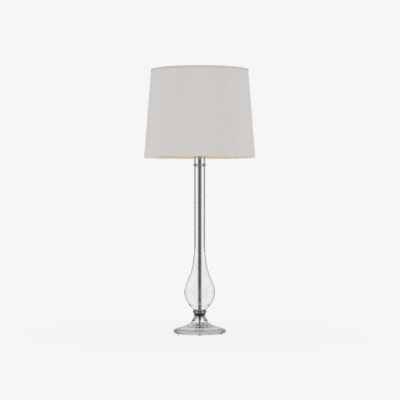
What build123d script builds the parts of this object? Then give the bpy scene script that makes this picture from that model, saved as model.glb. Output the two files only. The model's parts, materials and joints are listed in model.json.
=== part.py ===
from build123d import *
import os
from math import cos, pi, radians, sin, sqrt, tan

# Candlestick table lamp: two pieces of blown clear glass clamped on a nickel stem, under a
# tapered drum shade on a harp. Millimetres. The origin is the middle of the foot on the table,
# +Z is up and -Y is the front. Outlines of turned pieces are given as (radius, height).

# --- Fits -----------------------------------------------------------------------------------
RUN_FIT = 0.05  # radial play of a shaft that turns in its hole
SEAT_GAP = 0.02  # between a piece that lifts off and its seat
SLIP_FIT = 0.2  # radial play of a piece that is only threaded over another

# --- Glass foot -----------------------------------------------------------------------------
PAD_HEIGHT = 2.0
PAD_RADIUS = 4.5
PAD_COUNT = 6
FOOT_RADIUS = 84.5
RIM_ROLL = 6.3  # section radius of the rolled rim
FOOT_WALL = 4.0
FOOT_HEIGHT = 64.4  # table to the joint between foot and body
FOOT_BORE = 6.0
FOOT_CEILING = 4.9  # thickness of glass over the hollow
FOOT_WELL = 13.4  # radius of the hollow under that ceiling
LOWER_RING_RADIUS = 18.9
LOWER_RING_HEIGHT = 8.4
RING_NECKING = 2.4  # how far the glass draws in above and below a ring
# Outside of the flare: radius, and height above the rim's underside
FLARE_SHOULDER = (23.0, 43.0)
FLARE_WAIST = (28.8, 32.4)
FLARE_SWEEP = (42.0, 24.6)
FLARE_SKIRT = (63.0, 17.4)

# --- Glass body -----------------------------------------------------------------------------
JOINT_GASKET = 0.8
BODY_HEIGHT = 521.8
BODY_FLOOR = 10.3  # thickness of solid glass under the hollow
UPPER_RING_RADIUS = 22.0
UPPER_RING_HEIGHT = 8.7
BULB_WALL = 2.4
NECK_WALL = 3.0
NECK_FOOT_RADIUS = 17.2
NECK_TOP_RADIUS = 17.6
# Outside of the swelling: radius, and height above the joint
SWELL_START = (30.0, 20.5)
SWELL_BELLY = (49.3, 61.8)
SWELL_SHOULDER = (39.4, 103.8)
SWELL_THROAT = (25.2, 141.8)
SWELL_END = (19.3, 180.8)
NECK_START = 224.5  # height above the joint where the neck runs straight
NECK_RING_RADIUS = 19.9
NECK_RING_HEIGHT = 8.6
NECK_RING_BELOW_TOP = 49.7

# --- Stem and its hardware ------------------------------------------------------------------
COLUMN_RADIUS = 6.35
COLUMN_WALL = 1.0
PIPE_RADIUS = 4.85
PIPE_BORE = 3.4
BUSH_SLEEVE_RADIUS = 5.9
BUSH_FLANGE_RADIUS = 7.4
BUSH_FLANGE = 2.0
NUT_RADIUS = 12.0
NUT_HEIGHT = 11.0
NUT_NOZZLE_RADIUS = 4.6
NUT_NOZZLE_LENGTH = 2.6
NUT_THREAD_LENGTH = 5.0
WASHER_THICKNESS = 1.0
RUBBER_THICKNESS = 1.5
NECK_GASKET = 1.0
CAP_SKIRT = 8.5
CAP_WALL = 1.8
CAP_BOSS_DEPTH = 4.0
CAP_HEIGHT = 8.0
CAP_CROWN_RADIUS = 9.5
CHECK_NUT_ACROSS = 14.3
CHECK_NUT_HEIGHT = 4.0
PIPE_ABOVE_SADDLE = 6.5

# --- Socket ---------------------------------------------------------------------------------
SOCKET_HUB_RADIUS = 7.5
SOCKET_HUB_HEIGHT = 4.5
SOCKET_CAP_RADIUS = 17.2
SOCKET_CAP_HEIGHT = 17.0
SOCKET_CAP_DOME = 12.0
SOCKET_WALL = 0.8
SHELL_WALL = 0.6
SHELL_HEIGHT = 48.0
SHELL_LIP = 0.8
LINER_WALL = 0.6
CORE_HEIGHT = 23.5
SCREW_SHELL_WALL = 0.5
SCREW_SHELL_HEIGHT = 23.0
TONGUE_RADIUS = 3.0
TONGUE_HEIGHT = 3.2
TERMINAL_RADIUS = 3.0
TERMINAL_HEAD = 1.8
KEY_HEIGHT = 13.0  # switch axis above the socket's floor
KEY_SHAFT_RADIUS = 2.0
KEY_SHAFT_REACH = 31.0
KNOB_RADIUS = 5.2
KNOB_LENGTH = 15.0
KNOB_FLAT = 3.2
LEAD_RADIUS = 1.1

# --- Light bulb -----------------------------------------------------------------------------
BULB_BASE_RADIUS = 13.0
BULB_BASE_HEIGHT = 23.0
BULB_TIP = 2.7  # insulator and contact below the threaded shell
BULB_RADIUS = 30.0
BULB_LENGTH = 106.0
GLASS_THICKNESS = 0.9

# --- Harp and its stud ----------------------------------------------------------------------
SADDLE_WIDTH = 12.0
SADDLE_THICKNESS = 1.5
EAR_WIDTH = 3.6
EAR_THICKNESS = 1.4
EAR_HEIGHT = 13.0
HARP_HEIGHT = 214.5  # saddle to the middle of the wire at the top
HARP_WIRE = 1.6
HARP_FOOT_SPACING = 28.5
HARP_HALF_WIDTH = 54.0
HARP_LEG = 38.5  # straight part above the saddle
HARP_SHOULDER = 60.0  # height over which the legs spread
HARP_PAD_RADIUS = 5.0
FERRULE_BORE = 3.15
FERRULE_WALL = 0.8
FERRULE_HEIGHT = 14.0
STUD_RADIUS = 3.1
STUD_SHANK = 2.0
STUD_FLANGE_RADIUS = 7.0
STUD_FLANGE = 1.5
STUD_THREAD = 12.5
STUD_HEAD_RADIUS = 3.4
STUD_HEAD = 1.2
FINIAL_BALL = 6.4
FINIAL_HEIGHT = 19.0
FINIAL_BASE_RADIUS = 6.5

# --- Shade ----------------------------------------------------------------------------------
SHADE_BOTTOM_RADIUS = 177.5
SHADE_TOP_RADIUS = 155.4
SHADE_HEIGHT = 281.0
CLOTH = 0.6
LINING = 0.7
TRIM = 0.4
TRIM_HEIGHT = 7.0
HEM_HEIGHT = 4.0  # inner leg of the trim, over the wire
RING_WIRE = 1.3
SPIDER_WIRE = 1.5
SPIDER_DROP = 21.6
SPIDER_HUB_RADIUS = 10.5
SPIDER_HUB = 1.6
SPIDER_RISE = 34.0  # radial length of the sloped end of each arm
SPIDER_ARMS = 3

# --- Cord -----------------------------------------------------------------------------------
CORD_RADIUS = 2.8
NOTCH_AZIMUTH = 67.5  # from +X towards +Y: behind the foot and to the right
NOTCH_WIDTH = 9.0
NOTCH_TOP = 10.2
GROMMET_WALL = 0.9
GROMMET_LIP = 1.1
COIL_CENTRE = (0.0, 136.5)
COIL_RADIUS = 46.2  # of the outermost half turn
COIL_PITCH = 6.1
COIL_LAYER = 6.1
COIL_LIFT = 0.75  # clear of the table, for the tie under it
COIL_HALF_TURNS_IN = 8
COIL_HALF_TURNS_OUT = 6
CORD_SIDES = 8
TIE_AZIMUTH = 100.0
TIE_WIDTH = 5.0
TIE_THICKNESS = 0.6
RELIEF_LENGTH = 10.0
RELIEF_RADIUS = 4.4
PLUG_LENGTH = 24.0
PLUG_WIDTH = 24.0
PLUG_THICKNESS = 11.0
BLADE_LENGTH = 16.0
BLADE_WIDTH = 6.3
BLADE_THICKNESS = 1.5
BLADE_SPACING = 12.7

# --- Levels, from the table up --------------------------------------------------------------
rim_middle = PAD_HEIGHT + RIM_ROLL
body_bottom = FOOT_HEIGHT + JOINT_GASKET
body_top = body_bottom + BODY_HEIGHT
body_floor = body_bottom + BODY_FLOOR
foot_ceiling = FOOT_HEIGHT - FOOT_CEILING
nut_top = foot_ceiling - RUBBER_THICKNESS - WASHER_THICKNESS
cord_outlet = nut_top - NUT_HEIGHT
column_bottom = body_floor + BUSH_FLANGE
cap_seat = body_top + NECK_GASKET
cap_top = cap_seat + CAP_HEIGHT
check_nut_top = cap_top + CHECK_NUT_HEIGHT
saddle_top = check_nut_top + SADDLE_THICKNESS
pipe_top = saddle_top + PIPE_ABOVE_SADDLE
pipe_bottom = nut_top - NUT_THREAD_LENGTH
core_bottom = saddle_top + SOCKET_CAP_DOME
core_top = core_bottom + CORE_HEIGHT
key_level = saddle_top + SOCKET_CAP_DOME + KEY_HEIGHT
bulb_tip = core_top + TONGUE_HEIGHT + RUN_FIT
harp_top = saddle_top + HARP_HEIGHT
flange_bottom = harp_top + HARP_WIRE + SEAT_GAP
hub_bottom = flange_bottom + STUD_FLANGE + SEAT_GAP
hub_middle = hub_bottom + SPIDER_HUB / 2
hub_top = hub_bottom + SPIDER_HUB
shade_top = hub_middle + SPIDER_DROP
shade_bottom = shade_top - SHADE_HEIGHT


# --- Tools ----------------------------------------------------------------------------------
def outline(*lines):
    """Face inside a closed run of lines and arcs."""
    return make_face([edge for line in lines for edge in line.edges()])


def turned(*lines):
    """Solid turned about the lamp's axis from an outline of radius and height."""
    return revolve(Plane.XZ * outline(*lines), axis=Axis.Z)


def lathe(*points):
    """Turned solid with straight sides."""
    return turned(Polyline(*points, close=True))


def ring(outer, inner, low, high):
    """Washer, disc or sleeve about the lamp's axis."""
    return lathe((inner, low), (outer, low), (outer, high), (inner, high))


def rod(start, end, radius):
    """Straight round bar between two points."""
    axis = Vector(*end) - Vector(*start)
    return extrude(Plane(origin=start, z_dir=axis) * Circle(radius), amount=axis.length)


def wire(path, radius):
    """Round wire along a path."""
    return sweep(Plane(origin=path @ 0, z_dir=path % 0) * Circle(radius), path=path)


def around(count, piece, start=0.0):
    """Copies of a piece spaced evenly about the lamp's axis."""
    return [Rot(0, 0, start + 360 * k / count) * piece for k in range(count)]


def inner_knots(edge, wall, places):
    """Points one wall's thickness inside an outline, square to it."""
    knots = []
    for place in places:
        point, along = edge @ place, edge % place
        knots.append((point.X + wall * along.Y, point.Y - wall * along.X))
    return knots


def shade_radius(height, depth=0.0):
    """Radius of the shade's outside at a height, less a depth into its wall."""
    share = (height - shade_bottom) / SHADE_HEIGHT
    return SHADE_BOTTOM_RADIUS + share * (SHADE_TOP_RADIUS - SHADE_BOTTOM_RADIUS) - depth


def cone_band(depth, thickness, low, high):
    """Band that follows the shade's slope, at a depth under its outside."""
    return lathe(
        (shade_radius(low, depth + thickness), low),
        (shade_radius(low, depth), low),
        (shade_radius(high, depth), high),
        (shade_radius(high, depth + thickness), high),
    )


# --- Glass ----------------------------------------------------------------------------------
def bumper_feet():
    """Clear pads under the rolled rim, one of them at the front."""
    pad = extrude(Circle(PAD_RADIUS), amount=PAD_HEIGHT)
    pad = fillet(pad.edges().group_by(Axis.Z)[0], 0.6)
    return around(PAD_COUNT, Pos(FOOT_RADIUS - RIM_ROLL, 0, 0) * pad, start=-90)


def flare_line():
    """Outside of the foot between the lower ring and the rolled rim."""
    leave = radians(75)
    touch = (
        FOOT_RADIUS - RIM_ROLL + RIM_ROLL * cos(leave),
        rim_middle + RIM_ROLL * sin(leave),
    )
    knots = [
        (radius, PAD_HEIGHT + height)
        for radius, height in (FLARE_SHOULDER, FLARE_WAIST, FLARE_SWEEP, FLARE_SKIRT)
    ]
    start = (LOWER_RING_RADIUS - RING_NECKING, FOOT_HEIGHT - LOWER_RING_HEIGHT)
    return Spline(start, *knots, touch, tangents=[(0.55, -1), (sin(leave), -cos(leave))])


def foot_solid():
    """Foot before its notch: collar ring, bell flare and rolled rim round an open hollow."""
    collar = LOWER_RING_RADIUS - RING_NECKING
    crown = Line((FOOT_BORE, FOOT_HEIGHT), (collar, FOOT_HEIGHT))
    bulge = ThreePointArc(
        crown @ 1,
        (LOWER_RING_RADIUS, FOOT_HEIGHT - LOWER_RING_HEIGHT / 2),
        (collar, FOOT_HEIGHT - LOWER_RING_HEIGHT),
    )
    flare = flare_line()
    roll = RIM_ROLL * Vector(cos(radians(155)), sin(radians(155)))
    inner_start = Vector(FOOT_RADIUS - RIM_ROLL, rim_middle) + roll
    rim = ThreePointArc(flare @ 1, (FOOT_RADIUS - RIM_ROLL, PAD_HEIGHT), inner_start)
    knots = inner_knots(flare, FOOT_WALL, (0.72, 0.5, 0.33, 0.2))
    well = (FOOT_WELL, (flare @ 0).Y - FOOT_WALL)
    hollow = Spline(inner_start, *knots, well, tangents=[(-1, 0.35), (0, 1)])
    wall = Line(hollow @ 1, (FOOT_WELL, foot_ceiling))
    ceiling = Line(wall @ 1, (FOOT_BORE, foot_ceiling))
    bore = Line(ceiling @ 1, crown @ 0)
    return turned(crown, bulge, flare, rim, hollow, wall, ceiling, bore)


def notch(width, top, start, end):
    """Round-topped slot through the rim, from the table up, along the cord's way out."""
    radius = width / 2
    arch = Rectangle(width, top, align=(Align.CENTER, Align.MIN))
    arch = fillet(arch.vertices().group_by(Axis.Y)[-1], radius * 0.98)
    slot = extrude(Plane.YZ.offset(start) * arch, amount=end - start)
    return Rot(0, 0, NOTCH_AZIMUTH) * slot


def glass_foot():
    """Foot with the ground notch that lets the cord out under the rim."""
    return foot_solid() - notch(
        NOTCH_WIDTH, NOTCH_TOP, FOOT_RADIUS - 4 * RIM_ROLL, FOOT_RADIUS + RIM_ROLL
    )


def cord_grommet():
    """Clear liner of the notch, with a lip outside and inside the rim."""
    middle = FOOT_RADIUS - RIM_ROLL
    reach = RIM_ROLL + 0.9
    low = PAD_HEIGHT / 2
    sleeve = notch(NOTCH_WIDTH, NOTCH_TOP, middle - reach, middle + reach)
    lips = []
    for side in (-1, 1):
        edge = middle + side * reach
        lips.append(
            notch(
                NOTCH_WIDTH + 2 * GROMMET_LIP,
                NOTCH_TOP + GROMMET_LIP,
                min(edge, edge + side),
                max(edge, edge + side),
            )
        )
    opening = notch(
        NOTCH_WIDTH - 2 * GROMMET_WALL, NOTCH_TOP - GROMMET_WALL, middle - 9, middle + 9
    )
    floor = Pos(0, 0, low / 2) * Box(4 * FOOT_RADIUS, 4 * FOOT_RADIUS, low)
    return (sleeve + lips) - opening - floor


def swelling_line():
    """Outside of the body from the upper ring to the foot of the neck."""
    knots = [
        (radius, body_bottom + height)
        for radius, height in (SWELL_START, SWELL_BELLY, SWELL_SHOULDER, SWELL_THROAT, SWELL_END)
    ]
    start = (UPPER_RING_RADIUS - RING_NECKING, body_bottom + UPPER_RING_HEIGHT)
    end = (NECK_FOOT_RADIUS, body_bottom + NECK_START)
    return Spline(start, *knots, end, tangents=[(0.8, 1), (0, 1)])


def glass_body():
    """Upper ring, teardrop swelling and long neck with its applied ring, round one hollow."""
    collar = UPPER_RING_RADIUS - RING_NECKING
    bore = BUSH_SLEEVE_RADIUS + SLIP_FIT
    base = Line((bore, body_bottom), (collar, body_bottom))
    bulge = ThreePointArc(
        base @ 1,
        (UPPER_RING_RADIUS, body_bottom + UPPER_RING_HEIGHT / 2),
        (collar, body_bottom + UPPER_RING_HEIGHT),
    )
    swelling = swelling_line()
    ring_middle = body_top - NECK_RING_BELOW_TOP
    ring_foot = (NECK_TOP_RADIUS, ring_middle - NECK_RING_HEIGHT / 2)
    ring_head = (NECK_TOP_RADIUS, ring_middle + NECK_RING_HEIGHT / 2)
    neck = Line(swelling @ 1, ring_foot)
    applied = ThreePointArc(ring_foot, (NECK_RING_RADIUS, ring_middle), ring_head)
    collar_top = Line(ring_head, (NECK_TOP_RADIUS, body_top))
    mouth = Line(collar_top @ 1, (NECK_TOP_RADIUS - NECK_WALL, body_top))
    inner_end = (NECK_FOOT_RADIUS - NECK_WALL, body_bottom + NECK_START)
    throat = Line(mouth @ 1, inner_end)
    knots = inner_knots(swelling, -BULB_WALL, (0.8, 0.65, 0.5, 0.33, 0.17, 0.1, 0.055))
    well = (bore + (SWELL_START[0] - bore) * 0.45, body_floor)
    hollow = Spline(inner_end, *knots, well, tangents=[(0, -1), (-1, 0)])
    floor = Line(hollow @ 1, (bore, body_floor))
    hole = Line(floor @ 1, base @ 0)
    return turned(
        base, bulge, swelling, neck, applied, collar_top, mouth, throat, hollow, floor, hole
    )


def foot_gasket():
    """Clear washer between the two pieces of glass."""
    outer = LOWER_RING_RADIUS - RING_NECKING - 0.4
    return ring(outer, FOOT_BORE, FOOT_HEIGHT, body_bottom)


# --- Stem -----------------------------------------------------------------------------------
def waist_bushing():
    """Flanged bush that centres the stem in the body's floor."""
    bore = PIPE_RADIUS + SLIP_FIT
    return lathe(
        (bore, body_bottom + 1),
        (BUSH_SLEEVE_RADIUS, body_bottom + 1),
        (BUSH_SLEEVE_RADIUS, body_floor),
        (BUSH_FLANGE_RADIUS, body_floor),
        (BUSH_FLANGE_RADIUS, column_bottom - 0.6),
        (BUSH_FLANGE_RADIUS - 0.6, column_bottom),
        (bore, column_bottom),
    )


def column_tube():
    """Polished tube seen through the glass, from the bush to the neck cap."""
    return ring(COLUMN_RADIUS, COLUMN_RADIUS - COLUMN_WALL, column_bottom, cap_seat)


def threaded_pipe():
    """Clamping pipe from the cone nut to the socket, hollow for the cord."""
    return ring(PIPE_RADIUS, PIPE_BORE, pipe_bottom, pipe_top)


def cone_nut():
    """Inverted cone that clamps the foot and lets the cord out at its tip."""
    tip = cord_outlet + NUT_NOZZLE_LENGTH
    way = CORD_RADIUS + SLIP_FIT
    return lathe(
        (way, cord_outlet),
        (NUT_NOZZLE_RADIUS - 0.6, cord_outlet),
        (NUT_NOZZLE_RADIUS, cord_outlet + 0.6),
        (NUT_NOZZLE_RADIUS, tip),
        (NUT_RADIUS, nut_top - 0.8),
        (NUT_RADIUS, nut_top),
        (PIPE_RADIUS, nut_top),
        (PIPE_RADIUS, pipe_bottom),
        (way, pipe_bottom),
    )


def steel_washer():
    """Plain washer on the cone nut."""
    low = nut_top
    return ring(NUT_RADIUS - 0.5, PIPE_RADIUS + SLIP_FIT, low, low + WASHER_THICKNESS)


def rubber_washer():
    """Soft washer against the glass."""
    low = foot_ceiling - RUBBER_THICKNESS
    return ring(NUT_RADIUS, PIPE_RADIUS + SLIP_FIT, low, foot_ceiling)


def neck_gasket():
    """Clear washer on the mouth of the neck."""
    inner = NECK_TOP_RADIUS - NECK_WALL + SLIP_FIT
    return ring(NECK_TOP_RADIUS, inner, body_top, cap_seat)


def neck_cap():
    """Turned cap over the mouth: skirt, cove and a boss that centres the column."""
    inside = NECK_TOP_RADIUS + 2 * SLIP_FIT
    outside = inside + CAP_WALL
    low = cap_seat - CAP_SKIRT
    boss = NECK_TOP_RADIUS - NECK_WALL - 2 * SLIP_FIT
    bore = PIPE_RADIUS + SLIP_FIT
    seat = COLUMN_RADIUS + SLIP_FIT
    skirt = Polyline((inside, cap_seat), (inside, low), (outside, low), (outside, cap_seat))
    cove = Spline(
        skirt @ 1,
        (CAP_CROWN_RADIUS, cap_top - 1),
        tangents=[(-0.4, 1), (-0.25, 1)],
    )
    crown = Polyline(cove @ 1, (CAP_CROWN_RADIUS, cap_top), (bore, cap_top), (bore, cap_seat))
    under = Polyline(
        crown @ 1,
        (seat, cap_seat),
        (seat, cap_seat - CAP_BOSS_DEPTH),
        (boss, cap_seat - CAP_BOSS_DEPTH),
        (boss, cap_seat),
        (inside, cap_seat),
    )
    return turned(skirt, cove, crown, under)


def check_nut():
    """Hexagon nut that holds the cap down."""
    hexagon = RegularPolygon(CHECK_NUT_ACROSS / 2, 6, major_radius=False)
    nut = extrude(Pos(0, 0, cap_top) * hexagon, amount=CHECK_NUT_HEIGHT)
    return nut - ring(PIPE_RADIUS, 0, cap_top, check_nut_top)


def harp_saddle():
    """Strip under the socket with an upright ear for each leg of the harp."""
    ear = HARP_FOOT_SPACING + HARP_WIRE + SEAT_GAP
    half = ear + EAR_THICKNESS
    strip = extrude(
        Pos(0, 0, check_nut_top) * RectangleRounded(2 * half, SADDLE_WIDTH * 0.75, 1.5),
        amount=SADDLE_THICKNESS,
    )
    strip += ring(SADDLE_WIDTH * 0.75, 0, check_nut_top, saddle_top)
    ears = []
    for side in (-1, 1):
        middle = side * (ear + EAR_THICKNESS / 2)
        blank = Box(EAR_THICKNESS, EAR_WIDTH, EAR_HEIGHT, align=(Align.CENTER,) * 2 + (Align.MIN,))
        blank = fillet(blank.edges().group_by(Axis.Z)[-1].filter_by(Axis.X), EAR_WIDTH * 0.4)
        ears.append(Pos(middle, 0, saddle_top) * blank)
    return strip + ears - ring(PIPE_RADIUS + SLIP_FIT, 0, check_nut_top - 1, saddle_top + 1)


# --- Socket ---------------------------------------------------------------------------------
def shell_radius():
    """Outside of the socket's shell, which slips into its cap."""
    return SOCKET_CAP_RADIUS - SOCKET_WALL - RUN_FIT


def liner_radius():
    """Outside of the insulating liner."""
    return shell_radius() - SHELL_WALL - RUN_FIT


def core_radius():
    """Outside of the moulded core, inside the liner."""
    return liner_radius() - LINER_WALL - RUN_FIT


def key_way(radius, reach):
    """Straight hole from the socket's axis to the front at the switch's height."""
    return rod((0, 0, key_level), (0, -reach, key_level), radius)


def socket_cap():
    """Domed cap threaded on the pipe."""
    hub_top_level = saddle_top + SOCKET_HUB_HEIGHT
    dome_top = saddle_top + SOCKET_CAP_DOME
    rim = saddle_top + SOCKET_CAP_HEIGHT
    inner = SOCKET_CAP_RADIUS - SOCKET_WALL
    outside = Spline(
        (SOCKET_HUB_RADIUS, hub_top_level),
        (SOCKET_CAP_RADIUS, dome_top),
        tangents=[(1, 0.15), (0, 1)],
    )
    edge = Polyline(outside @ 1, (SOCKET_CAP_RADIUS, rim), (inner, rim), (inner, dome_top))
    inside = Spline(
        edge @ 1,
        (SOCKET_HUB_RADIUS, hub_top_level + SOCKET_WALL),
        tangents=[(0, -1), (-1, -0.15)],
    )
    hub = Polyline(
        inside @ 1,
        (PIPE_RADIUS, hub_top_level + SOCKET_WALL),
        (PIPE_RADIUS, saddle_top),
        (SOCKET_HUB_RADIUS, saddle_top),
        outside @ 0,
    )
    screw_hole = rod(
        (0, PIPE_RADIUS, set_screw_level()), (0, SOCKET_HUB_RADIUS + 1, set_screw_level()), 1.5
    )
    return turned(outside, edge, inside, hub) - screw_hole


def set_screw_level():
    """Height of the screw that locks the cap on the pipe."""
    return saddle_top + SOCKET_HUB_HEIGHT / 2


def socket_set_screw():
    """Slotted screw in the back of the cap's hub."""
    level = set_screw_level()
    body = rod((0, PIPE_RADIUS, level), (0, SOCKET_HUB_RADIUS + 1.4, level), 1.5)
    slot = Pos(0, SOCKET_HUB_RADIUS + 1.4, level) * Box(3.2, 1.4, 0.6)
    return body - slot


def socket_shell():
    """Drawn shell with a rolled lip, pierced for the key."""
    radius = shell_radius()
    low = saddle_top + SOCKET_CAP_DOME
    high = low + SHELL_HEIGHT
    body = ring(radius, radius - SHELL_WALL, low, high)
    lip = Pos(0, 0, high - SHELL_LIP) * Torus(radius - SHELL_WALL / 2 + SHELL_LIP / 2, SHELL_LIP)
    lip -= ring(radius - SHELL_WALL, 0, low, high + SHELL_LIP)
    return body + lip - key_way(KEY_SHAFT_RADIUS + 1.4, 2 * radius)


def socket_liner():
    """Fibre sleeve between shell and core."""
    radius = liner_radius()
    low = saddle_top + SOCKET_CAP_DOME
    body = ring(radius, radius - LINER_WALL, low, low + SHELL_HEIGHT - 1)
    return body - key_way(KEY_SHAFT_RADIUS + 1, 2 * radius)


def terminal_level():
    """Height of the two terminal screws."""
    return core_bottom + 7.5


def terminal_seat(side, depth):
    """Place of a terminal screw's face on one side of the core."""
    return (side * (core_radius() - 3 + depth), 0, terminal_level())


def terminal_screws():
    """Two brass screws, one in each side pocket of the core."""
    screws = []
    for side in (-1, 1):
        shank = rod(terminal_seat(side, -4), terminal_seat(side, 0), 1.5)
        head = rod(terminal_seat(side, 0), terminal_seat(side, TERMINAL_HEAD), TERMINAL_RADIUS)
        slot = Pos(*terminal_seat(side, TERMINAL_HEAD)) * Box(1, 0.8, 5)
        screws.append(shank + head - slot)
    return screws


def socket_core():
    """Moulded body that holds the switch, with a pocket for each terminal."""
    core = ring(core_radius(), 0, core_bottom, core_top)
    core = chamfer(core.edges().group_by(Axis.Z)[0], 1)
    for side in (-1, 1):
        x, y, z = terminal_seat(side, 5)
        core -= Pos(x, y, (z + core_bottom + 4) / 2) * Box(10, 8.4, z - core_bottom + 4)
        core -= rod(terminal_seat(side, -4), terminal_seat(side, 0), 1.5)
    return core - key_way(KEY_SHAFT_RADIUS + RUN_FIT, 2 * core_radius())


def screw_shell():
    """Threaded sleeve that the bulb's base turns in, riveted to the core."""
    inner = BULB_BASE_RADIUS + 2 * RUN_FIT
    outer = inner + SCREW_SHELL_WALL
    wall = ring(outer, inner, core_top, core_top + SCREW_SHELL_HEIGHT)
    return wall + ring(outer, TONGUE_RADIUS + 4, core_top, core_top + SCREW_SHELL_WALL)


def centre_contact():
    """Spring tongue under the bulb's tip."""
    return lathe(
        (0, core_top),
        (TONGUE_RADIUS, core_top),
        (TONGUE_RADIUS, core_top + 0.6),
        (1.2, core_top + TONGUE_HEIGHT - 0.4),
        (0.8, core_top + TONGUE_HEIGHT),
        (0, core_top + TONGUE_HEIGHT),
    )


def switch_shaft():
    """Steel shaft of the turn switch, towards the front."""
    return rod((0, -3, key_level), (0, -KEY_SHAFT_REACH, key_level), KEY_SHAFT_RADIUS)


def key_knob():
    """Moulded turn knob: round collar and a flattened grip."""
    start = -shell_radius() - 3
    end = start - KNOB_LENGTH
    grip = rod((0, start, key_level), (0, end, key_level), KNOB_RADIUS)
    grip = fillet(grip.edges().group_by(Axis.Y)[0], 1.5)
    for side in (-1, 1):
        flat = Box(4, KNOB_LENGTH, 3 * KNOB_RADIUS)
        grip -= Pos(side * (KNOB_FLAT + 2), end + KNOB_LENGTH / 3, key_level) * flat
    return grip - rod((0, -3, key_level), (0, -KEY_SHAFT_REACH, key_level), KEY_SHAFT_RADIUS)


def socket_leads():
    """Two insulated leads from the top of the pipe to the terminals."""
    leads = []
    reach = core_radius() - 3 + LEAD_RADIUS + 0.1
    for side in (-1, 1):
        path = FilletPolyline(
            (side * 1.3, 0, pipe_top + 0.1),
            (side * 1.3, 0, pipe_top + 2.4),
            (side * reach, 0, core_bottom - 1.7),
            (side * reach, 0, terminal_level() - TERMINAL_RADIUS - 0.3),
            radius=1.6,
        )
        leads.append(wire(path, LEAD_RADIUS))
    return leads


def stem_cord():
    """The part of the cord that runs inside the pipe."""
    return ring(CORD_RADIUS, 0, cord_outlet, pipe_top)


# --- Light bulb -----------------------------------------------------------------------------
def base_bottom():
    """Underside of the bulb's threaded shell."""
    return bulb_tip + BULB_TIP


def bulb_base():
    """Threaded shell, plain here, closed by the insulator below."""
    low, high = base_bottom(), base_bottom() + BULB_BASE_HEIGHT
    inner = BULB_BASE_RADIUS - 0.4
    return lathe(
        (10, low),
        (10.6, low),
        (BULB_BASE_RADIUS, low + 3),
        (BULB_BASE_RADIUS, high),
        (inner, high),
        (inner, low + 3.2),
        (10, low + 0.6),
    )


def bulb_insulator():
    """Dark glass cone between the shell and the contact."""
    low, high = base_bottom() - 1.6, base_bottom() + 0.6
    return lathe((4, low), (5, low), (10, base_bottom()), (10, high), (0, high), (0, low + 0.6),
                 (4, low + 0.6))


def bulb_contact():
    """Solder contact at the tip."""
    return lathe((0, bulb_tip), (2.6, bulb_tip), (4, base_bottom() - 1.6),
                 (4, base_bottom() - 1), (0, base_bottom() - 1))


def bulb_glass():
    """Pear-shaped envelope with its neck inside the threaded shell."""
    low = base_bottom() + 6
    top = bulb_tip + BULB_LENGTH
    middle = top - BULB_RADIUS
    neck = BULB_BASE_RADIUS - 0.6
    skins = []
    for skin in (0, GLASS_THICKNESS):
        side = Line((neck - skin, low), (neck - skin, base_bottom() + BULB_BASE_HEIGHT + 2))
        flank = Spline(
            side @ 1,
            ((BULB_RADIUS - skin), middle),
            tangents=[(0, 1), (0, 1)],
            tangent_scalars=[1.0, 1.3],
        )
        dome = RadiusArc(flank @ 1, (0, top - skin), -(BULB_RADIUS - skin))
        skins.append((side, flank, dome))
    outer, inner = skins
    foot = Line(outer[0] @ 0, inner[0] @ 0)
    tip = Line(outer[2] @ 1, inner[2] @ 1)
    return turned(*outer, *inner, foot, tip)


def bulb_stem():
    """Glass mount with its filament posts."""
    low = base_bottom() + 6
    neck = BULB_BASE_RADIUS - 0.6 - GLASS_THICKNESS
    mount = lathe((0, low), (neck, low), (neck, low + 2), (4, low + 8), (3, low + 34), (0, low + 34))
    posts = []
    for side in (-1, 1):
        posts.append(rod((side * 1.5, 0, low + 33), (side * 9, 0, low + 58), 0.6))
    bridge = rod((-9.3, 0, low + 58), (9.3, 0, low + 58), 0.9)
    return mount + posts + bridge


# --- Harp -----------------------------------------------------------------------------------
def harp():
    """Bent wire: two legs, two spread shoulders, one round top with a pad for the stud."""
    spread = HARP_HALF_WIDTH - HARP_FOOT_SPACING
    foot = saddle_top + SEAT_GAP
    knee = foot + HARP_LEG
    hip = knee + HARP_SHOULDER
    crown = harp_top - HARP_HALF_WIDTH
    middle = HARP_FOOT_SPACING + spread / 2
    legs = []
    for side in (1, -1):
        leg = Line((side * HARP_FOOT_SPACING, foot), (side * HARP_FOOT_SPACING, knee))
        out = TangentArc(leg @ 1, (side * middle, knee + HARP_SHOULDER / 2), tangent=(0, 1))
        back = TangentArc(out @ 1, (side * HARP_HALF_WIDTH, hip), tangent=out % 1)
        rise = Line(back @ 1, (side * HARP_HALF_WIDTH, crown))
        quarter = TangentArc(rise @ 1, (0, harp_top), tangent=(0, 1))
        legs.append(wire(Plane.XZ * Wire([leg, out, back, rise, quarter]), HARP_WIRE))
    pad = ring(HARP_PAD_RADIUS, 0, harp_top - HARP_WIRE, harp_top + HARP_WIRE)
    pad = fillet(pad.edges().filter_by(GeomType.CIRCLE), min(0.6, HARP_WIRE / 3))
    hole = ring(STUD_SHANK + RUN_FIT, 0, harp_top - 3 * HARP_WIRE, harp_top + 3 * HARP_WIRE)
    seat = ring(STUD_HEAD_RADIUS + SLIP_FIT, 0, harp_top - 3 * HARP_WIRE, harp_top - HARP_WIRE)
    return legs[0] + legs[1] + pad - hole - seat


def ferrule(side):
    """Sleeve that locks one leg of the harp to its ear."""
    middle = HARP_FOOT_SPACING + (EAR_THICKNESS + SEAT_GAP) / 2
    low = saddle_top + SEAT_GAP
    outer = FERRULE_BORE + FERRULE_WALL
    sleeve = ring(outer, FERRULE_BORE, low, low + FERRULE_HEIGHT)
    rims = sleeve.edges().filter_by(GeomType.CIRCLE).sort_by(SortBy.RADIUS)[-2:]
    return Pos(side * middle, 0, 0) * chamfer(rims, FERRULE_WALL / 2)


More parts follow.
